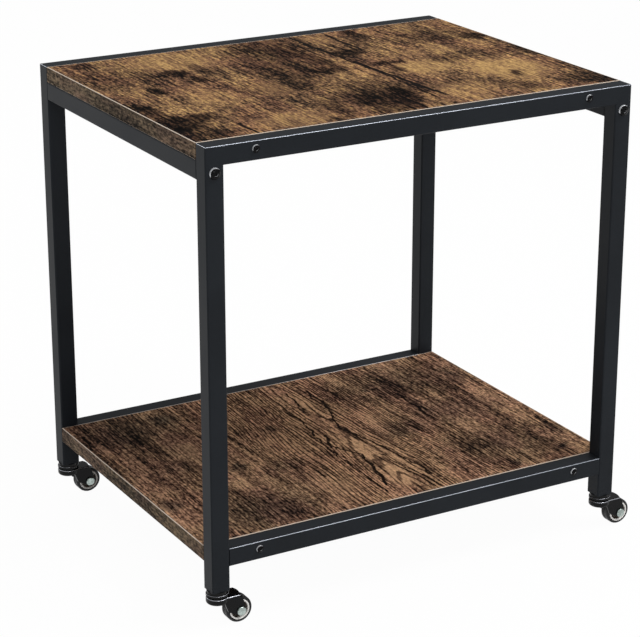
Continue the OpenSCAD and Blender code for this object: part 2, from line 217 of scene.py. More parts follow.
# rounded edges that lean one way, for a painted highlight on the coat, without the flats beside
def makeRidgeGroup():
    group, given, out = newGroup(
        "glintRidge",
        [("Lean", vectorKind, (0, 0, 1)), ("Start", floatKind, 0.2), ("Full", floatKind, 0.5),
         ("Flat", vectorKind, (0, 0, 1)), ("Fade", floatKind, 0.93), ("End", floatKind, 0.99)],
        [("Mask", floatKind)])
    normal = addNode(group, "ShaderNodeNewGeometry").outputs["Normal"]

    def facing(name):
        node = addNode(group, "ShaderNodeVectorMath", operation="DOT_PRODUCT")
        feed(group, node.inputs[0], normal)
        feed(group, node.inputs[1], given[name])
        return node.outputs["Value"]

    rising = ranged(group, facing("Lean"), given["Start"], given["Full"])
    level = calc(group, "ABSOLUTE", facing("Flat"))
    flat = ranged(group, level, given["Fade"], given["End"], 1.0, 0.0)
    feed(group, out["Mask"], calc(group, "MULTIPLY", rising, flat))
    return group


# metal worked round or along, seen as fine bright and dark lines
metalShape = {
    "clouds": {"cells": (420, 420, 420), "detail": 3}, "cloudRange": (0.3, 0.7),
    "lines": {"cells": (2400, 300, 2400), "detail": 2}, "brightRange": (0.7, 1.3),
}


def makeMetalGroup(shape):
    group, given, out = newGroup(
        "workedMetal",
        [("Coord", vectorKind, None), ("Bright", colorKind, (0.6, 0.62, 0.64, 1)),
         ("Dull", colorKind, (0.35, 0.37, 0.39, 1)), ("Gloss Low", floatKind, 0.2),
         ("Gloss High", floatKind, 0.4)],
        [("Color", colorKind), ("Roughness", floatKind), ("Height", floatKind)])
    clouds = grain(group, given["Coord"], **shape["clouds"])
    lines = grain(group, given["Coord"], **shape["lines"])
    share = ranged(group, calc(group, "ADD", clouds, lines), *shape["brightRange"])
    feed(group, out["Color"], mixed(group, share, given["Dull"], given["Bright"]))
    gloss = ranged(group, clouds, *shape["cloudRange"],
                   given["Gloss High"], given["Gloss Low"], smooth=False)
    feed(group, out["Roughness"], gloss)
    feed(group, out["Height"], lines)
    return group


# spots reach a little beyond their half size; splits fade at their sides and over their ends
markShape = {"spotReach": 1.2, "splitCore": 0.5, "splitFade": 0.12}


# one soft-edged spot of the wood print
def makeSpotGroup(shape):
    group, given, out = newGroup(
        "printSpot",
        [("Coord", vectorKind, None), ("Centre", vectorKind, None),
         ("Half Size", vectorKind, (0.02, 0.03, 1)), ("Core", floatKind, 0.5),
         ("Strength", floatKind, 1.0), ("So Far", floatKind, 0.0)],
        [("Mask", floatKind)])
    away = addNode(group, "ShaderNodeVectorMath", operation="SUBTRACT")
    feed(group, away.inputs[0], given["Coord"])
    feed(group, away.inputs[1], given["Centre"])
    share = addNode(group, "ShaderNodeVectorMath", operation="DIVIDE")
    feed(group, share.inputs[0], away.outputs[0])
    feed(group, share.inputs[1], given["Half Size"])
    length = addNode(group, "ShaderNodeVectorMath", operation="LENGTH")
    feed(group, length.inputs[0], share.outputs[0])
    reach = length.outputs["Value"]
    spot = ranged(group, reach, shape["spotReach"], given["Core"], 0.0, given["Strength"])
    feed(group, out["Mask"], calc(group, "MAXIMUM", given["So Far"], spot))
    return group


# one thin split of the wood print, from start to end along the grain
def makeSplitGroup(shape):
    group, given, out = newGroup(
        "printSplit",
        [("Coord", vectorKind, None), ("Start", vectorKind, None), ("End", vectorKind, None),
         ("Half Width", floatKind, 0.001), ("Sway", floatKind, 0.0), ("So Far", floatKind, 0.0)],
        [("Mask", floatKind)])

    def parted(name):
        node = addNode(group, "ShaderNodeSeparateXYZ")
        feed(group, node.inputs[0], given[name])
        return node.outputs

    here, start, end = parted("Coord"), parted("Start"), parted("End")
    length = calc(group, "SUBTRACT", end["Y"], start["Y"])
    along = calc(group, "DIVIDE", calc(group, "SUBTRACT", here["Y"], start["Y"]), length)
    drift = calc(group, "MULTIPLY", along, calc(group, "SUBTRACT", end["X"], start["X"]))
    middle = calc(group, "ADD", calc(group, "ADD", start["X"], drift), given["Sway"])
    away = calc(group, "ABSOLUTE", calc(group, "SUBTRACT", here["X"], middle))
    core = calc(group, "MULTIPLY", given["Half Width"], shape["splitCore"])
    thin = ranged(group, away, given["Half Width"], core)
    fade = shape["splitFade"]
    begun, unfinished = ranged(group, along, 0.0, fade), ranged(group, along, 1.0, 1 - fade)
    ends = calc(group, "MULTIPLY", begun, unfinished)
    split = calc(group, "MULTIPLY", thin, ends)
    feed(group, out["Mask"], calc(group, "MAXIMUM", given["So Far"], split))
    return group


# the rustic wood print of both boards and their banding, with the grain along Y
printShape = {
    "mottle": {"cells": (30, 12, 30), "detail": 6, "rough": 0.7},
    "fibre": {"cells": (400, 16, 400), "detail": 3, "rough": 0.6},
    "grit": {"cells": (480, 180, 480), "shift": (4, 7, 1), "detail": 1, "rough": 0.6},
    "dots": {"cells": (460, 210, 460), "shift": (6, 1, 3), "detail": 2, "rough": 0.7},
    "hue": {"cells": (28, 14, 28), "shift": (9, 2, 6), "detail": 4, "rough": 0.6},
    "hueRange": (0.4, 0.62), "redder": (0.97, 0.88, 0.96, 1),
    # growth lines: how far noise pushes them, how much of them shows and how far from the heart
    "sway": {"cells": (26, 6, 26)}, "swayReach": 0.024,
    "uneven": {"cells": (130, 5, 130), "shift": (7, 3, 5), "rough": 0.6}, "unevenReach": 0.006,
    "heartRound": 0.00016, "archLean": 0.05, "lineFibre": 1.2, "lineRange": (0.5, 1.5),
    "shown": {"cells": (21, 6, 21), "shift": (3, 8, 2), "detail": 3}, "shownRange": (0.25, 0.5),
    "nearRange": (0.05, 0.13),
    # what each mark takes from the light, and the light's way through the three tones
    "stainDepth": 0.3, "splitDepth": 0.7, "lineDepth": 0.4, "clearLift": 0.2, "clearCalm": 0.55,
    "darkToBrown": (0.12, 0.5), "brownToPale": (0.5, 0.9), "gloss": (0.1, 0.9, 0.66, 0.48),
}


def makeWoodGroup(shape):
    group, given, out = newGroup(
        "rusticPrint",
        [("Coord", vectorKind, None), ("Pale", colorKind, linear(170, 134, 96)),
         ("Brown", colorKind, linear(112, 82, 60)), ("Dark", colorKind, linear(44, 34, 27)),
         ("Wash", colorKind, (0.36, 0.36, 0.38, 1)), ("Level", floatKind, 0.5),
         ("Mottle", floatKind, 0.9), ("Fibre", floatKind, 0.5), ("Grit", floatKind, 0.4),
         ("Dots", floatKind, 0.5), ("Figure", floatKind, 0.3), ("Line Pitch", floatKind, 0.003),
         ("Heart", floatKind, 0.0), ("Spread", floatKind, 1.0), ("Stains", floatKind, 0.0),
         ("Clear", floatKind, 0.0), ("Splits", floatKind, 0.0)],
        [("Color", colorKind), ("Roughness", floatKind), ("Height", floatKind)])
    coord = given["Coord"]

    def times(first, second):
        return calc(group, "MULTIPLY", first, second)

    def plus(first, second):
        return calc(group, "ADD", first, second)

    def swung(value, amount):    # noise made to swing round zero
        return times(calc(group, "SUBTRACT", value, 0.5), amount)

    mottle, fibre, grit, dots, hue, sway, uneven, shown = (
        grain(group, coord, **shape[name])
        for name in ("mottle", "fibre", "grit", "dots", "hue", "sway", "uneven", "shown"))
    # stripes on both sides of the heart, leaning until they close into arches
    across = addNode(group, "ShaderNodeSeparateXYZ")
    feed(group, across.inputs[0], coord)
    away = calc(group, "SUBTRACT", across.outputs["X"], given["Heart"])
    bowed = calc(group, "SQRT", plus(times(away, away), shape["heartRound"]))
    pushed = plus(bowed, times(across.outputs["Y"], shape["archLean"]))
    pushed = plus(pushed, times(sway, shape["swayReach"]))
    pushed = plus(pushed, times(uneven, shape["unevenReach"]))
    turns = times(calc(group, "DIVIDE", pushed, given["Line Pitch"]), 2 * math.pi)
    wave = plus(calc(group, "SINE", turns), times(fibre, shape["lineFibre"]))
    lines = ranged(group, wave, *shape["lineRange"])
    shown = ranged(group, shown, *shape["shownRange"])
    distance = calc(group, "ABSOLUTE", away)
    near = ranged(group, distance, *shape["nearRange"], 1.0, given["Spread"])
    figure = times(times(lines, times(shown, near)), given["Figure"])

    calm = ranged(group, given["Clear"], 0.0, 1.0, 1.0, shape["clearCalm"])
    swing = plus(swung(mottle, given["Mottle"]), swung(fibre, given["Fibre"]))
    swing = plus(swing, swung(grit, given["Grit"]))
    light = plus(given["Level"], times(swing, calm))
    light = plus(light, times(given["Clear"], shape["clearLift"]))
    for mark, depth in ((given["Stains"], shape["stainDepth"]),
                        (given["Splits"], shape["splitDepth"]), (figure, shape["lineDepth"])):
        light = calc(group, "SUBTRACT", light, times(mark, depth))
    browner = ranged(group, light, *shape["darkToBrown"], smooth=False)
    tone = mixed(group, browner, given["Dark"], given["Brown"])
    paler = ranged(group, light, *shape["brownToPale"], smooth=False)
    tone = mixed(group, paler, tone, given["Pale"])
    redder = mixed(group, 1.0, tone, shape["redder"], "MULTIPLY")
    clouded = calc(group, "SUBTRACT", 1.0, given["Clear"], True)
    tone = mixed(group, times(ranged(group, hue, *shape["hueRange"]), clouded), tone, redder)
    # stains darken like a wash, so the fine dots of the print still show in them
    wash = mixed(group, given["Stains"], (1, 1, 1, 1), given["Wash"])
    tone = mixed(group, 1.0, tone, wash, "MULTIPLY")
    dotted = plus(swung(dots, times(given["Dots"], calm)), 1.0)
    tone = mixed(group, 1.0, tone, calc(group, "MAXIMUM", dotted, 0.0), "MULTIPLY")
    feed(group, out["Color"], tone)
    feed(group, out["Height"], light)
    feed(group, out["Roughness"], ranged(group, light, *shape["gloss"], smooth=False))
    return group


coatSkin = makeSkinGroup(skinShape)
glintRidge = makeRidgeGroup()
workedMetal = makeMetalGroup(metalShape)
printSpot = makeSpotGroup(markShape)
printSplit = makeSplitGroup(markShape)
rusticPrint = makeWoodGroup(printShape)
print("node groups built")


def coatedMaterial(name, look):
    material, tree, surface, coord = newMaterial(name)
    skin = useGroup(tree, coatSkin, **{
        "Coord": coord, "Tone": look["tone"], "Speck": look["speck"], "Speck Share": look["share"],
        "Gloss Low": look["gloss"][0], "Gloss High": look["gloss"][1]})
    tone, gloss = skin["Color"], skin["Roughness"]
    if "glintTone" in look:    # painted highlight: these edges are painted pale and metallic so they glint
        start, full, fade, end = look["ridge"]
        ridge = useGroup(tree, glintRidge, **{
            "Lean": look["lean"], "Start": start, "Full": full,
            "Flat": look["flat"], "Fade": fade, "End": end})["Mask"]
        tone = mixed(tree, ridge, tone, look["glintTone"])
        gloss = ranged(tree, ridge, 0.0, 1.0, gloss, look["glintGloss"])
        tree.links.new(calc(tree, "MULTIPLY", ridge, look["sheen"]), surface.inputs["Metallic"])
    tree.links.new(tone, surface.inputs["Base Color"])
    tree.links.new(gloss, surface.inputs["Roughness"])
    surface.inputs["Specular IOR Level"].default_value = look["specular"]
    bump(tree, surface, skin["Height"], look["peel"])
    return material


def metalMaterial(name, look):
    material, tree, surface, coord = newMaterial(name)
    worked = useGroup(tree, workedMetal, **{
        "Coord": coord, "Bright": look["bright"], "Dull": look["dull"],
        "Gloss Low": look["gloss"][0], "Gloss High": look["gloss"][1]})
    tree.links.new(worked["Color"], surface.inputs["Base Color"])
    tree.links.new(worked["Roughness"], surface.inputs["Roughness"])
    surface.inputs["Metallic"].default_value = 1
    bump(tree, surface, worked["Height"], look["lines"])
    return material


# how ragged the spots are, how the splits sway, and which slopes of the banding count as its corner
woodShape = {
    "rag": {"cells": (150, 55, 150), "shift": (2, 5, 1), "detail": 4, "rough": 0.65},
    "ragReach": (0.020, 0.040, 0), "sway": {"cells": (60, 60, 60), "detail": 3},
    "cornerRange": (0.25, 0.6), "allDepth": 1e6,
}


def woodMaterial(name, look):
    material, tree, surface, coord = newMaterial(name)
    tree.nodes.active = surface
    originX, originY = look["origin"]
    # spots sit where the board has them, with ragged edges drawn out along the grain
    centred = addNode(tree, "ShaderNodeVectorMath", operation="SUBTRACT")
    feed(tree, centred.inputs[0], grain(tree, coord, **woodShape["rag"], output="Color"))
    centred.inputs[1].default_value = (0.5, 0.5, 0.5)
    drawn = addNode(tree, "ShaderNodeVectorMath", operation="MULTIPLY_ADD")
    feed(tree, drawn.inputs[0], centred.outputs[0])
    drawn.inputs[1].default_value = woodShape["ragReach"]
    feed(tree, drawn.inputs[2], coord)
    masks = {"stains": 0.0, "clear": 0.0}
    for kind in masks:
        for x, y, halfX, halfY, strength in look[kind]:
            masks[kind] = useGroup(tree, printSpot, **{
                "Coord": drawn.outputs[0], "Centre": (originX + x * mm, originY + y * mm, 0),
                "Half Size": (halfX * mm, halfY * mm, woodShape["allDepth"]),
                "Core": look["core"], "Strength": strength, "So Far": masks[kind]})["Mask"]
    sway = calc(tree, "SUBTRACT", grain(tree, coord, **woodShape["sway"]), 0.5)
    sway = calc(tree, "MULTIPLY", sway, look["sway"])
    splits = 0.0
    for startX, startY, endX, endY, halfWidth in look["splits"]:
        splits = useGroup(tree, printSplit, **{
            "Coord": coord, "Start": (originX + startX * mm, originY + startY * mm, 0),
            "End": (originX + endX * mm, originY + endY * mm, 0),
            "Half Width": halfWidth * mm, "Sway": sway, "So Far": splits})["Mask"]
    wood = useGroup(tree, rusticPrint, **{
        "Coord": scaled(tree, coord, (1, 1, 1), look["shift"]),
        "Pale": look["pale"], "Brown": look["brown"], "Dark": look["dark"], "Wash": look["wash"],
        "Level": look["level"], "Mottle": look["mottle"], "Fibre": look["fibre"],
        "Grit": look["grit"], "Dots": look["dots"], "Figure": look["figure"],
        "Line Pitch": look["pitch"], "Heart": originX + look["heart"] + look["shift"][0],
        "Spread": look["spread"], "Stains": masks["stains"], "Clear": masks["clear"],
        "Splits": splits})
    tone = wood["Color"]
    if "trimAndGlint" in look:   # the rounded corner of the banding is painted pale: partly its cut pale body, partly a painted highlight
        facing = addNode(tree, "ShaderNodeSeparateXYZ")
        feed(tree, facing.inputs[0], addNode(tree, "ShaderNodeNewGeometry").outputs["Normal"])
        upright = calc(tree, "ABSOLUTE", facing.outputs["Z"])
        corner = ranged(tree, upright, *woodShape["cornerRange"])
        share = calc(tree, "MULTIPLY", corner, look["trimAndGlintShare"])
        tone = mixed(tree, share, tone, look["trimAndGlint"])
    tree.links.new(tone, surface.inputs["Base Color"])
    tree.links.new(wood["Roughness"], surface.inputs["Roughness"])
    surface.inputs["Specular IOR Level"].default_value = look["specular"]
    bump(tree, surface, wood["Height"], look["relief"])
    return material


boardLow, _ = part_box("top_board")
boardOrigin = (boardLow.x, boardLow.y)

coatLook = {    # the side rails have no painted highlight on their edges
    "tone": linear(28, 31, 35), "speck": linear(44, 48, 53), "share": 0.25,
    "gloss": (0.40, 0.48), "specular": 0.09, "peel": 0.00003,
}
powderLook = dict(coatLook, **{    # the welded frames get a painted highlight on their upper edges
    "glintTone": linear(160, 165, 175), "glintGloss": 0.25, "sheen": 0.17,
    "lean": (0, 0, 1), "flat": (0, 0, 1), "ridge": (0.46, 0.62, 0.76, 0.88),
})
# the pale metallic upper rims of the caster parts are a painted highlight
enamelLook = {
    "tone": linear(10, 10, 11), "speck": linear(20, 20, 22), "share": 0.1,
    "gloss": (0.14, 0.22), "specular": 0.14, "peel": 0.000005,
    "glintTone": linear(168, 170, 176), "glintGloss": 0.2, "sheen": 0.6,
    "lean": (0, 0, 1), "flat": (0, 0, 1), "ridge": (0.3, 0.5, 0.72, 0.86),
}
# the near-white upper-left rims and socket walls of the heads are a painted highlight
oxideLook = {
    "tone": linear(9, 9, 10), "speck": linear(22, 22, 24), "share": 0.15,
    "gloss": (0.16, 0.24), "specular": 0.08, "peel": 0.00001,
    "glintTone": linear(246, 248, 252), "glintGloss": 0.25, "sheen": 0.65,
    "lean": (-0.55, 0, 0.835), "flat": (0, 1, 0), "ridge": (0.0, 0.35, 0.5, 0.72),
}
nylonLook = {
    "tone": linear(88, 78, 68), "speck": linear(116, 104, 92), "share": 0.3,
    "gloss": (0.35, 0.5), "specular": 0.4, "peel": 0.00003,
}
rubberLook = {
    "tone": linear(20, 20, 21), "speck": linear(44, 44, 45), "share": 0.35,
    "gloss": (0.45, 0.6), "specular": 0.3, "peel": 0.00004,
}
ringLook = {
    "tone": linear(242, 240, 236), "speck": linear(214, 211, 205), "share": 0.12,
    "gloss": (0.25, 0.35), "specular": 0.5, "peel": 0.00001,
}
zincLook = {
    "bright": linear(190, 202, 197), "dull": linear(134, 144, 140),
    "gloss": (0.22, 0.38), "lines": 0.00001,
}
ballLook = {
    "bright": linear(214, 216, 220), "dull": linear(176, 178, 182),
    "gloss": (0.08, 0.16), "lines": 0.000002,
}
# stains and clear spots: x and y from the front left of the board, half width and half length in
# millimetres, then strength; splits: x and y of both ends and half width in millimetres
topLook = {
    "origin": boardOrigin, "shift": (0.31, 0.17, 0.0), "core": 0.5,
    "pale": linear(188, 151, 97), "brown": linear(120, 91, 68), "dark": linear(28, 25, 23),
    "wash": (0.36, 0.36, 0.38, 1), "level": 0.49, "mottle": 1.5, "fibre": 1.4, "grit": 1.3,
    "figure": 0.25, "pitch": 0.0045, "heart": 0.16, "dots": 3.0, "sway": 0.008, "spread": 1.0,
    "specular": 0.012, "relief": 0.00006,
    "splits": [
        (277, 26, 268, 200, 2.8), (268, 150, 264, 319, 2.4), (303, 222, 303, 312, 2.2),
        (236, 0, 236, 66, 2), (62, 0, 61, 42, 1.8), (195, 266, 195, 312, 2),
        (264, 22, 269, 150, 1.8)],
    "stains": [
        (12, 62, 30, 34, 1.0), (36, 72, 26, 16, 0.95), (8, 110, 13, 42, 0.8),
        (49, 176, 10, 18, 0.9), (215, 270, 50, 65, 0.45), (200, 195, 50, 50, 0.4),
        (222, 62, 52, 70, 0.45), (150, 140, 40, 30, 0.25), (40, 240, 50, 50, 0.25),
        (400, 250, 50, 40, 0.35), (390, 160, 60, 20, 0.35), (350, 50, 30, 30, 0.25),
        (96, 232, 15, 18, 0.95), (106, 200, 9, 18, 0.9), (78, 228, 16, 8, 0.7),
        (124, 235, 8, 30, 0.65), (236, 262, 16, 48, 0.85), (210, 275, 22, 40, 0.6),
        (242, 205, 10, 30, 0.85), (228, 172, 24, 16, 0.85), (196, 190, 34, 60, 0.5),
        (283, 226, 22, 14, 0.8), (297, 170, 20, 9, 0.8), (292, 148, 6, 22, 0.7),
        (222, 50, 44, 40, 0.8), (246, 64, 14, 30, 1.0), (200, 40, 14, 22, 0.9),
        (212, 14, 34, 16, 0.8), (166, 40, 16, 36, 0.55), (177, 132, 14, 26, 0.6),
        (433, 229, 16, 18, 0.95), (398, 240, 28, 14, 0.5), (446, 150, 10, 30, 0.8),
        (381, 73, 6, 15, 1.0), (364, 26, 16, 22, 0.55), (358, 156, 26, 14, 0.5),
        (330, 300, 9, 28, 0.6), (30, 302, 16, 16, 0.5), (310, 75, 14, 10, 0.4),
        (432, 24, 24, 28, 0.5), (20, 18, 30, 20, 0.55), (150, 8, 20, 10, 0.5)],
    "clear": [
        (385, 92, 45, 50, 1.0), (318, 140, 34, 28, 1.0), (110, 275, 50, 50, 0.8),
        (150, 132, 20, 30, 0.7), (112, 24, 44, 30, 0.8), (300, 40, 34, 50, 0.6),
        (360, 196, 46, 22, 0.5), (290, 285, 20, 30, 0.7), (80, 140, 30, 34, 0.5)],
}
shelfLook = {
    "origin": boardOrigin, "shift": (0.83, 0.46, 0.0), "core": 0.1,
    "pale": linear(184, 147, 112), "brown": linear(112, 85, 66), "dark": linear(24, 19, 15),
    "wash": (0.28, 0.35, 0.42, 1), "level": 0.645, "mottle": 1.2, "fibre": 1.9, "grit": 1.4,
    "figure": 1.3, "pitch": 0.0033, "heart": 0.240, "dots": 3.0, "sway": 0.012, "spread": 0.35,
    "specular": 0.012, "relief": 0.00008,
    "splits": [
        (207, 10, 209, 112, 1.4), (209, 110, 214, 172, 1.4), (214, 168, 223, 212, 1.5),
        (223, 206, 218, 245, 1.4), (213, 26, 227, 80, 1.8), (227, 76, 230, 110, 1.4),
        (230, 106, 216, 142, 1.4), (215, 136, 224, 170, 1.8), (238, 234, 247, 292, 1.7),
        (263, 222, 268, 288, 1.5), (245, 176, 263, 228, 1.4), (267, 28, 263, 102, 1.4),
        (263, 96, 251, 166, 1.4), (260, 14, 246, 106, 1.3), (345, 146, 347, 234, 1.9)],
    "stains": [
        (97, 286, 24, 30, 0.9), (40, 256, 26, 26, 0.75), (110, 139, 16, 12, 0.85),
        (108, 22, 14, 14, 0.95), (350, 190, 10, 60, 0.75), (322, 252, 12, 12, 0.8),
        (353, 16, 10, 10, 0.9), (417, 26, 10, 10, 0.9), (430, 250, 14, 34, 0.7),
        (297, 139, 34, 20, 0.55), (367, 60, 36, 26, 0.6), (12, 92, 20, 20, 0.7),
        (183, 209, 11, 12, 0.75), (60, 170, 30, 30, 0.5), (150, 120, 34, 24, 0.5),
        (60, 40, 20, 26, 0.55), (14, 300, 20, 26, 0.6), (440, 70, 14, 30, 0.6),
        (60, 200, 110, 150, 0.35), (370, 60, 100, 80, 0.45), (370, 255, 110, 70, 0.55),
        (130, 80, 60, 70, 0.3), (310, 145, 50, 34, 0.5), (325, 262, 30, 50, 0.4),
        (45, 275, 75, 70, 0.7), (85, 40, 85, 65, 0.7), (370, 165, 90, 60, 0.5)],
    "clear": [
        (218, 212, 14, 40, 1.0), (250, 256, 12, 34, 1.0), (237, 46, 18, 44, 0.9),
        (216, 165, 10, 26, 0.9), (167, 182, 20, 12, 0.9), (87, 206, 16, 22, 0.8),
        (290, 176, 20, 40, 0.7), (190, 90, 30, 40, 0.5), (180, 50, 50, 70, 0.65),
        (250, 120, 50, 120, 0.7), (183, 180, 40, 80, 0.6)],
}
bandLook = {
    "origin": boardOrigin, "shift": (0.12, 0.71, 0.0), "core": 0.3,
    "pale": linear(134, 114, 90), "brown": linear(86, 74, 60), "dark": linear(36, 31, 26),
    "wash": (0.36, 0.36, 0.38, 1), "level": 0.585, "mottle": 0.8, "fibre": 1.2, "grit": 1.6,
    "figure": 0.2, "pitch": 0.004, "heart": 0.2, "dots": 1.5, "sway": 0.008, "spread": 1.0,
    "specular": 0.03, "relief": 0.00003, "splits": [],
    # the pale corner colour is partly the banding's cut body and partly a painted highlight
    "trimAndGlint": linear(222, 206, 190), "trimAndGlintShare": 0.9,
    "stains": [(0, 155, 50, 60, 0.35)], "clear": [],
}
powderCoat = coatedMaterial("powderCoat", powderLook)
plainCoat = coatedMaterial("plainCoat", coatLook)
casterEnamel = coatedMaterial("casterEnamel", enamelLook)
blackOxide = coatedMaterial("blackOxide", oxideLook)
wheelNylon = coatedMaterial("wheelNylon", nylonLook)
tyreRubber = coatedMaterial("tyreRubber", rubberLook)
ringPlastic = coatedMaterial("ringPlastic", ringLook)
zincPlate = metalMaterial("zincPlate", zincLook)
ballSteel = metalMaterial("ballSteel", ballLook)
topWood = woodMaterial("topWood", topLook)
shelfWood = woodMaterial("shelfWood", shelfLook)
edgeBanding = woodMaterial("edgeBanding", bandLook)
print("materials built:", len(bpy.data.materials))


def settle(name, mesh, material, body, slot, *stoodFor):
    piece = bpy.data.objects.new(name, mesh)
    scene.collection.objects.link(piece)
    mesh.materials.clear()
    mesh.materials.append(material)
    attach(piece, body)
    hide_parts(*stoodFor)
    return piece


# square tube with true rounded corners and square ends
tubeShape = {"corner": 0.0016, "wall": 0.0012, "innerCorner": 0.0002, "steps": 7}


def roundedLoop(side, radius, steps):
    points = []
    half = side / 2 - radius
    for index, (x, y) in enumerate(((1, 1), (-1, 1), (-1, -1), (1, -1))):
        for step in range(steps + 1):
            angle = math.radians(90 * (index + step / steps))
            normal = Vector((math.cos(angle), math.sin(angle)))
            points.append((Vector((x * half, y * half)) + normal * radius, normal))
    return points


def tubeMesh(name, low, high, axis, shape):
    across = [i for i in (0, 1, 2) if i != axis]
    middle = (low + high) / 2
    side = high[across[0]] - low[across[0]]
    wall = shape["wall"]
    innerCorner = max(shape["corner"] - wall, shape["innerCorner"])
    loops = (roundedLoop(side, shape["corner"], shape["steps"]),
             roundedLoop(side - 2 * wall, innerCorner, shape["steps"]))
    count = len(loops[0])
    points, pointNormals = [], []
    for end in (0, 1):
        for ring, sign in zip(loops, (1, -1)):
            for spot, normal in ring:
                place = Vector(middle)
                place[across[0]] += spot.x
                place[across[1]] += spot.y
                place[axis] = high[axis] if end else low[axis]
                facing = Vector((0, 0, 0))
                facing[across[0]], facing[across[1]] = sign * normal.x, sign * normal.y
                points.append(place)
                pointNormals.append(facing)
    faces = []
    for i in range(count):
        j = (i + 1) % count
        outer0, inner0, outer1, inner1 = 0, count, 2 * count, 3 * count
        faces += [(outer0 + i, outer0 + j, outer1 + j, outer1 + i),
                  (inner0 + j, inner0 + i, inner1 + i, inner1 + j),
                  (outer0 + j, outer0 + i, inner0 + i, inner0 + j),
                  (outer1 + i, outer1 + j, inner1 + j, inner1 + i)]
    mesh = bpy.data.meshes.new(name)
    mesh.from_pydata(points, [], faces)
    made = bmesh.new()
    made.from_mesh(mesh)
    bmesh.ops.recalc_face_normals(made, faces=made.faces)
    made.to_mesh(mesh)
    made.free()
    mesh.shade_smooth()
    normals = []
    for face in mesh.polygons:
        endFace = len({index // (2 * count) for index in face.vertices}) == 1
        normals += [face.normal.copy() if endFace else pointNormals[index]
                    for index in face.vertices]
    mesh.normals_split_custom_set(normals)
    return mesh


for side in ("front", "rear"):
    low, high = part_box(f"{side}_lower_rail")
    mesh = tubeMesh(f"{side}_lower_tube", low, high, 0, tubeShape)
    settle(f"{side}_lower_tube", mesh, powderCoat, "stand", "powder_coat", f"{side}_lower_rail")
for side in ("left", "right"):
    low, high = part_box(f"{side}_side_rail")
    mesh = tubeMesh(f"{side}_side_tube", low, high, 1, tubeShape)
    settle(f"{side}_side_tube", mesh, plainCoat, "stand", "powder_coat", f"{side}_side_rail")
print("straight tubes made")


# a merged, smoothly shaded copy of a solid that already has the right shape
copyShape = {"merge": 0.002 * mm, "sharp": math.radians(32), "largeFaces": 100}


def smoothCopy(node, name):
    made = bmesh.new()
    made.from_mesh(cadNodes[node].data)
    bmesh.ops.remove_doubles(made, verts=made.verts, dist=copyShape["merge"])
    for face in made.faces:
        face.smooth = True
    for edge in made.edges:
        edge.smooth = edge.calc_face_angle(0) < copyShape["sharp"]
    mesh = bpy.data.meshes.new(name)
    made.to_mesh(mesh)
    made.free()
    if "custom_normal" in mesh.attributes:    # normals of the solids before merging
        mesh.attributes.remove(mesh.attributes["custom_normal"])
    return mesh


def weighNormals(piece):
    weigh = piece.modifiers.new("evenShade", "WEIGHTED_NORMAL")
    weigh.keep_sharp = True
    weigh.weight = copyShape["largeFaces"]    # how much large faces count
    return piece


# the legs and top rails of the welded frames, with their ground corners
for node in [f"{corner}_leg" for corner in corners] + ["front_top_rail", "rear_top_rail"]:
    mesh = smoothCopy(node, f"{node}_tube")
    weighNormals(settle(f"{node}_tube", mesh, powderCoat, "stand", "powder_coat", node))
print("welded frames made")


for board, wood in (("top_board", topWood), ("lower_shelf", shelfWood)):
    mesh = smoothCopy(board, f"{board}_panel")
    settle(f"{board}_panel", mesh, wood, "stand", "laminate", board)
    mesh = smoothCopy(f"{board}_edge_bands", f"{board}_banding")
    weighNormals(settle(f"{board}_banding", mesh, edgeBanding, "stand", "edge_banding",
                        f"{board}_edge_bands"))
print("boards made")


# button heads with a hex socket, set on points that face out of the frame
boltShape = {"head": 0.0053, "height": 0.0032, "key": 0.004, "shank": 0.003, "length": 0.030}
screwShape = {"head": 0.0037, "height": 0.0022, "key": 0.0025, "shank": 0.002, "length": 0.036}


# corners round the head and shank, steps up the head, then the dome: where it starts and its curve
buttonShape = {
    "round": 48, "rise": 12, "shankRound": 32, "foot": 0.2, "domePower": 2.2, "domeDepth": 0.46,
    "keySides": 6, "keyReach": 0.57735, "softAngle": math.radians(34),
}


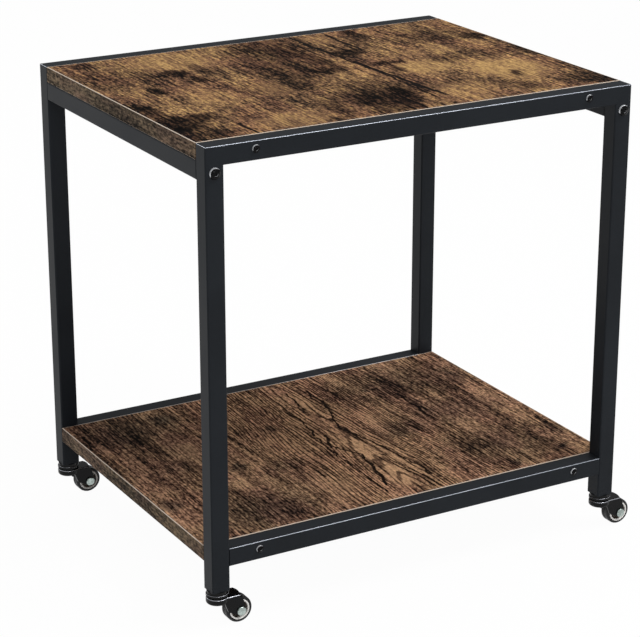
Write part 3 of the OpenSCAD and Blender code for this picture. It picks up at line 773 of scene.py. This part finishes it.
def makeButtonTree(shape):
    tree = bpy.data.node_groups.new("buttonHeads", "GeometryNodeTree")
    face = tree.interface
    face.new_socket("Geometry", in_out="INPUT", socket_type="NodeSocketGeometry")
    for label in ("Head Radius", "Head Height", "Key Size", "Shank Radius", "Shank Length"):
        face.new_socket(label, in_out="INPUT", socket_type="NodeSocketFloat")
    face.new_socket("Finish", in_out="INPUT", socket_type="NodeSocketMaterial")
    face.new_socket("Geometry", in_out="OUTPUT", socket_type="NodeSocketGeometry")
    given = addNode(tree, "NodeGroupInput").outputs
    out = addNode(tree, "NodeGroupOutput").inputs

    head = addNode(tree, "GeometryNodeMeshCylinder", fill_type="NGON")
    head.inputs["Vertices"].default_value = shape["round"]
    head.inputs["Side Segments"].default_value = shape["rise"]
    feed(tree, head.inputs["Radius"], given["Head Radius"])
    feed(tree, head.inputs["Depth"], given["Head Height"])
    place = addNode(tree, "GeometryNodeInputPosition").outputs[0]
    split = addNode(tree, "ShaderNodeSeparateXYZ")
    feed(tree, split.inputs[0], place)
    lift = calc(tree, "DIVIDE", split.outputs["Z"], given["Head Height"])
    lift = calc(tree, "ADD", lift, 0.5)
    # radius share over the height: straight at the foot, then a dome to a flat round the socket
    rise = calc(tree, "SUBTRACT", lift, shape["foot"])
    rise = calc(tree, "MAXIMUM", calc(tree, "DIVIDE", rise, 1 - shape["foot"]), 0.0)
    curve = calc(tree, "POWER", rise, shape["domePower"])
    curve = calc(tree, "MULTIPLY", curve, shape["domeDepth"])
    dome = calc(tree, "SUBTRACT", 1.0, curve)
    shaped = addNode(tree, "ShaderNodeCombineXYZ")
    feed(tree, shaped.inputs["X"], calc(tree, "MULTIPLY", split.outputs["X"], dome))
    feed(tree, shaped.inputs["Y"], calc(tree, "MULTIPLY", split.outputs["Y"], dome))
    feed(tree, shaped.inputs["Z"], calc(tree, "MULTIPLY", lift, given["Head Height"]))
    domed = addNode(tree, "GeometryNodeSetPosition")
    feed(tree, domed.inputs["Geometry"], head.outputs["Mesh"])
    feed(tree, domed.inputs["Position"], shaped.outputs[0])

    key = addNode(tree, "GeometryNodeMeshCylinder", fill_type="NGON")
    key.inputs["Vertices"].default_value = shape["keySides"]
    keyRadius = calc(tree, "MULTIPLY", given["Key Size"], shape["keyReach"])
    feed(tree, key.inputs["Radius"], keyRadius)
    feed(tree, key.inputs["Depth"], given["Head Height"])
    keyed = addNode(tree, "GeometryNodeTransform")
    feed(tree, keyed.inputs["Geometry"], key.outputs["Mesh"])
    up = addNode(tree, "ShaderNodeCombineXYZ")
    feed(tree, up.inputs["Z"], given["Head Height"])
    feed(tree, keyed.inputs["Translation"], up.outputs[0])
    socketed = addNode(tree, "GeometryNodeMeshBoolean", operation="DIFFERENCE", solver="EXACT")
    feed(tree, socketed.inputs["Mesh 1"], domed.outputs[0])
    feed(tree, socketed.inputs["Mesh 2"], keyed.outputs[0])

    shank = addNode(tree, "GeometryNodeMeshCylinder", fill_type="NGON")
    shank.inputs["Vertices"].default_value = shape["shankRound"]
    feed(tree, shank.inputs["Radius"], given["Shank Radius"])
    feed(tree, shank.inputs["Depth"], given["Shank Length"])
    sunk = addNode(tree, "GeometryNodeTransform")
    feed(tree, sunk.inputs["Geometry"], shank.outputs["Mesh"])
    down = addNode(tree, "ShaderNodeCombineXYZ")
    feed(tree, down.inputs["Z"], calc(tree, "MULTIPLY", given["Shank Length"], -0.5))
    feed(tree, sunk.inputs["Translation"], down.outputs[0])
    joined = addNode(tree, "GeometryNodeJoinGeometry")
    tree.links.new(sunk.outputs[0], joined.inputs[0])
    tree.links.new(socketed.outputs["Mesh"], joined.inputs[0])

    flat = addNode(tree, "GeometryNodeSetShadeSmooth", domain="EDGE")
    feed(tree, flat.inputs["Geometry"], joined.outputs[0])
    edgeAngle = addNode(tree, "GeometryNodeInputMeshEdgeAngle").outputs[0]
    soft = addNode(tree, "FunctionNodeCompare", operation="LESS_THAN")
    feed(tree, soft.inputs[0], edgeAngle)
    soft.inputs[1].default_value = shape["softAngle"]
    feed(tree, flat.inputs["Shade Smooth"], soft.outputs[0])
    faced = addNode(tree, "GeometryNodeInputNamedAttribute", data_type="FLOAT_VECTOR")
    faced.inputs["Name"].default_value = "facing"
    turn = addNode(tree, "FunctionNodeAlignRotationToVector", axis="Z")
    feed(tree, turn.inputs["Vector"], faced.outputs[0])
    placed = addNode(tree, "GeometryNodeInstanceOnPoints")
    feed(tree, placed.inputs["Points"], given["Geometry"])
    feed(tree, placed.inputs["Instance"], flat.outputs[0])
    feed(tree, placed.inputs["Rotation"], turn.outputs[0])
    real = addNode(tree, "GeometryNodeRealizeInstances")
    feed(tree, real.inputs[0], placed.outputs[0])
    finish = addNode(tree, "GeometryNodeSetMaterial")
    feed(tree, finish.inputs["Geometry"], real.outputs[0])
    feed(tree, finish.inputs["Material"], given["Finish"])
    feed(tree, out[0], finish.outputs[0])
    return tree


buttonTree = makeButtonTree(buttonShape)


def buttonHeads(name, places, shape, node):
    spots = bpy.data.meshes.new(f"{name}_spots")
    spots.from_pydata([place for place, _ in places], [], [])
    facing = spots.attributes.new("facing", "FLOAT_VECTOR", "POINT")
    for index, (_, way) in enumerate(places):
        facing.data[index].vector = way
    carrier = bpy.data.objects.new(f"{name}_spots", spots)
    scene.collection.objects.link(carrier)
    modifier = carrier.modifiers.new("buttons", "NODES")
    modifier.node_group = buttonTree
    values = {"Head Radius": shape["head"], "Head Height": shape["height"],
              "Key Size": shape["key"], "Shank Radius": shape["shank"],
              "Shank Length": shape["length"], "Finish": blackOxide}
    for item in buttonTree.interface.items_tree:
        if item.name in values:
            modifier[item.identifier] = values[item.name]
    depsgraph = bpy.context.evaluated_depsgraph_get()
    mesh = bpy.data.meshes.new_from_object(carrier.evaluated_get(depsgraph))
    bpy.data.objects.remove(carrier)
    return settle(name, mesh, blackOxide, "stand", "black_oxide", node)


def facePlaces(node, shape):
    low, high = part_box(node)
    z = (low.z + high.z) / 2
    return [(Vector((x, y + sign * -shape["height"], z)), Vector((0, sign, 0)))
            for x in (low.x + shape["head"], high.x - shape["head"])
            for y, sign in ((low.y, -1), (high.y, 1))]


buttonHeads("side_rail_buttons", facePlaces("side_rail_bolts", boltShape), boltShape,
            "side_rail_bolts")
for board in ("top_board", "lower_shelf"):
    node = f"{board}_screws"
    buttonHeads(f"{board}_buttons", facePlaces(node, screwShape), screwShape, node)
print("bolts and screws made")


# casters
wheelShape = {
    "round": 0.002, "steps": 96, "sharp": math.radians(38), "merge": 0.001 * mm,
    "seat": 0.00015, "bevel": 0.0003,    # clear of the core, and the bevel at the tyre's foot
    "groove": 0.0003, "grooveFloor": 0.00012, "grooveDepth": 0.00012,
}


def lathe(name, outline, centre, shape):
    made = bmesh.new()
    ring = [made.verts.new((radius, along, 0)) for radius, along in outline]
    edges = [made.edges.new((ring[i], ring[(i + 1) % len(ring)])) for i in range(len(ring))]
    bmesh.ops.spin(made, geom=ring + edges, cent=(0, 0, 0), axis=(0, 1, 0),
                   angle=2 * math.pi, steps=shape["steps"], use_merge=True)
    bmesh.ops.remove_doubles(made, verts=made.verts, dist=shape["merge"])
    bmesh.ops.recalc_face_normals(made, faces=made.faces)
    bmesh.ops.translate(made, verts=made.verts, vec=centre)
    mesh = bpy.data.meshes.new(name)
    made.to_mesh(mesh)
    made.free()
    mesh.shade_smooth()
    mesh.set_sharp_from_angle(angle=shape["sharp"])
    return mesh


def arc(centre, radius, start, end, steps=8):
    return [(centre[0] + radius * math.cos(math.radians(start + (end - start) * i / steps)),
             centre[1] + radius * math.sin(math.radians(start + (end - start) * i / steps)))
            for i in range(steps + 1)]


def treadOutline(outer, half, rim, shape):
    shoulder, bevel = shape["round"], shape["bevel"]
    groove, floor = shape["groove"], shape["grooveFloor"]
    sunk = outer - shape["grooveDepth"]
    return ([(rim, -half + bevel), (rim + bevel, -half)]
            + arc((outer - shoulder, -half + shoulder), shoulder, -90, 0)
            + [(outer, -groove), (sunk, -floor), (sunk, floor), (outer, groove)]
            + arc((outer - shoulder, half - shoulder), shoulder, 0, 90)
            + [(rim + bevel, half), (rim, half - bevel)])


wheelParts = (("rim_rings", ringPlastic, "rim_ring"), ("wheel_core", wheelNylon, "wheel_nylon"))
forkParts = (("fork", casterEnamel, "caster_enamel"), ("axle", zincPlate, "plated_steel"),
             ("swivel_balls", ballSteel, "plated_steel"))
fixedParts = (("caster_swivel_caps", casterEnamel, "caster_enamel"),
              ("caster_stems", zincPlate, "plated_steel"),
              ("leg_inserts", wheelNylon, "black_nylon"),
              ("side_rail_end_plates", zincPlate, "plated_steel"))


def copyPiece(node, ending, material, body, slot):
    name = f"{node}_{ending}"
    weighNormals(settle(name, smoothCopy(node, name), material, body, slot, node))


for corner in corners:
    low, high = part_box(f"{corner}_tyre")
    coreLow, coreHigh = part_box(f"{corner}_wheel_core")
    rim = (coreHigh.z - coreLow.z) / 2 + wheelShape["seat"]
    outline = treadOutline((high.z - low.z) / 2, (high.y - low.y) / 2, rim, wheelShape)
    mesh = lathe(f"{corner}_tread", outline, (low + high) / 2, wheelShape)
    settle(f"{corner}_tread", mesh, tyreRubber, f"{corner}_wheel", "tyre_rubber", f"{corner}_tyre")
    for part, material, slot in wheelParts:
        copyPiece(f"{corner}_{part}", "turned", material, f"{corner}_wheel", slot)
    for part, material, slot in forkParts:
        copyPiece(f"{corner}_{part}", "formed", material, f"{corner}_caster", slot)
for part, material, slot in fixedParts:
    copyPiece(part, "formed", material, "stand", slot)
print("casters made")


# floor, world and lamps
stageSetup = {
    "size": 200.0, "shade": (0.9, 0.9, 0.9, 1), "matt": 0.9, "cleared": 0.97,
    "horizon": 0.14, "zenith": 0.6, "skyRange": (0.1, 0.7),
}
lampSetup = {   # place, aim, length, width in metres, watts
    "keyStrip": ((1.30, -0.95, 2.55), (0, 0, 0.3), (1.6, 0.4), 42),
    "rearStrip": ((-0.95, 2.30, 1.60), (0, 0, 0.4), (1.4, 0.14), 12),
    "frontStrip": ((-0.70, -2.70, 1.70), (0, 0, 0.2), (1.0, 0.5), 14),
}


def buildStage(setup):
    made = bmesh.new()
    bmesh.ops.create_grid(made, x_segments=1, y_segments=1, size=setup["size"] / 2)
    mesh = bpy.data.meshes.new("floorSheet")
    made.to_mesh(mesh)
    made.free()
    floor = bpy.data.objects.new("floorSheet", mesh)
    scene.collection.objects.link(floor)
    material = bpy.data.materials.new("floorPaper")
    material.use_nodes = True
    tree = material.node_tree
    surface = tree.nodes["Principled BSDF"]
    surface.inputs["Base Color"].default_value = setup["shade"]
    surface.inputs["Roughness"].default_value = setup["matt"]
    surface.inputs["Specular IOR Level"].default_value = 0
    paper = addNode(tree, "ShaderNodeEmission")
    path = addNode(tree, "ShaderNodeLightPath").outputs
    mirrored = calc(tree, "MAXIMUM", path["Is Glossy Ray"], path["Is Transmission Ray"])
    seen = calc(tree, "MAXIMUM", path["Is Camera Ray"], mirrored)
    blend = addNode(tree, "ShaderNodeMixShader")
    feed(tree, blend.inputs[0], calc(tree, "MULTIPLY", seen, setup["cleared"]))
    tree.links.new(surface.outputs[0], blend.inputs[1])
    tree.links.new(paper.outputs[0], blend.inputs[2])
    under = addNode(tree, "ShaderNodeMixShader")    # seen through from below
    feed(tree, under.inputs[0], addNode(tree, "ShaderNodeNewGeometry").outputs["Backfacing"])
    tree.links.new(blend.outputs[0], under.inputs[1])
    tree.links.new(addNode(tree, "ShaderNodeBsdfTransparent").outputs[0], under.inputs[2])
    tree.links.new(under.outputs[0], tree.nodes["Material Output"].inputs["Surface"])
    mesh.materials.append(material)


def buildWorld(setup):
    world = bpy.data.worlds.new("studioWorld")
    scene.world = world
    world.use_nodes = True
    tree = world.node_tree
    height = addNode(tree, "ShaderNodeSeparateXYZ")
    feed(tree, height.inputs[0], addNode(tree, "ShaderNodeTexCoord").outputs["Generated"])
    back = tree.nodes["Background"]
    back.inputs["Color"].default_value = (1, 1, 1, 1)
    lit = ranged(tree, height.outputs["Z"], *setup["skyRange"], setup["horizon"], setup["zenith"])
    # white behind the floor's far edge
    seen = addNode(tree, "ShaderNodeLightPath").outputs["Is Camera Ray"]
    feed(tree, back.inputs["Strength"], calc(tree, "MAXIMUM", lit, seen))


def hangLamp(name, spot, aim, size, watts):
    data = bpy.data.lights.new(name, "AREA")
    data.shape = "RECTANGLE"
    data.size, data.size_y = size
    data.energy = watts
    lamp = bpy.data.objects.new(name, data)
    lamp.location = spot
    lamp.rotation_euler = (Vector(aim) - Vector(spot)).to_track_quat("-Z", "Y").to_euler()
    scene.collection.objects.link(lamp)


buildStage(stageSetup)
buildWorld(stageSetup)
for name, (spot, aim, size, watts) in lampSetup.items():
    hangLamp(name, spot, aim, size, watts)
print("stage and lamps made")
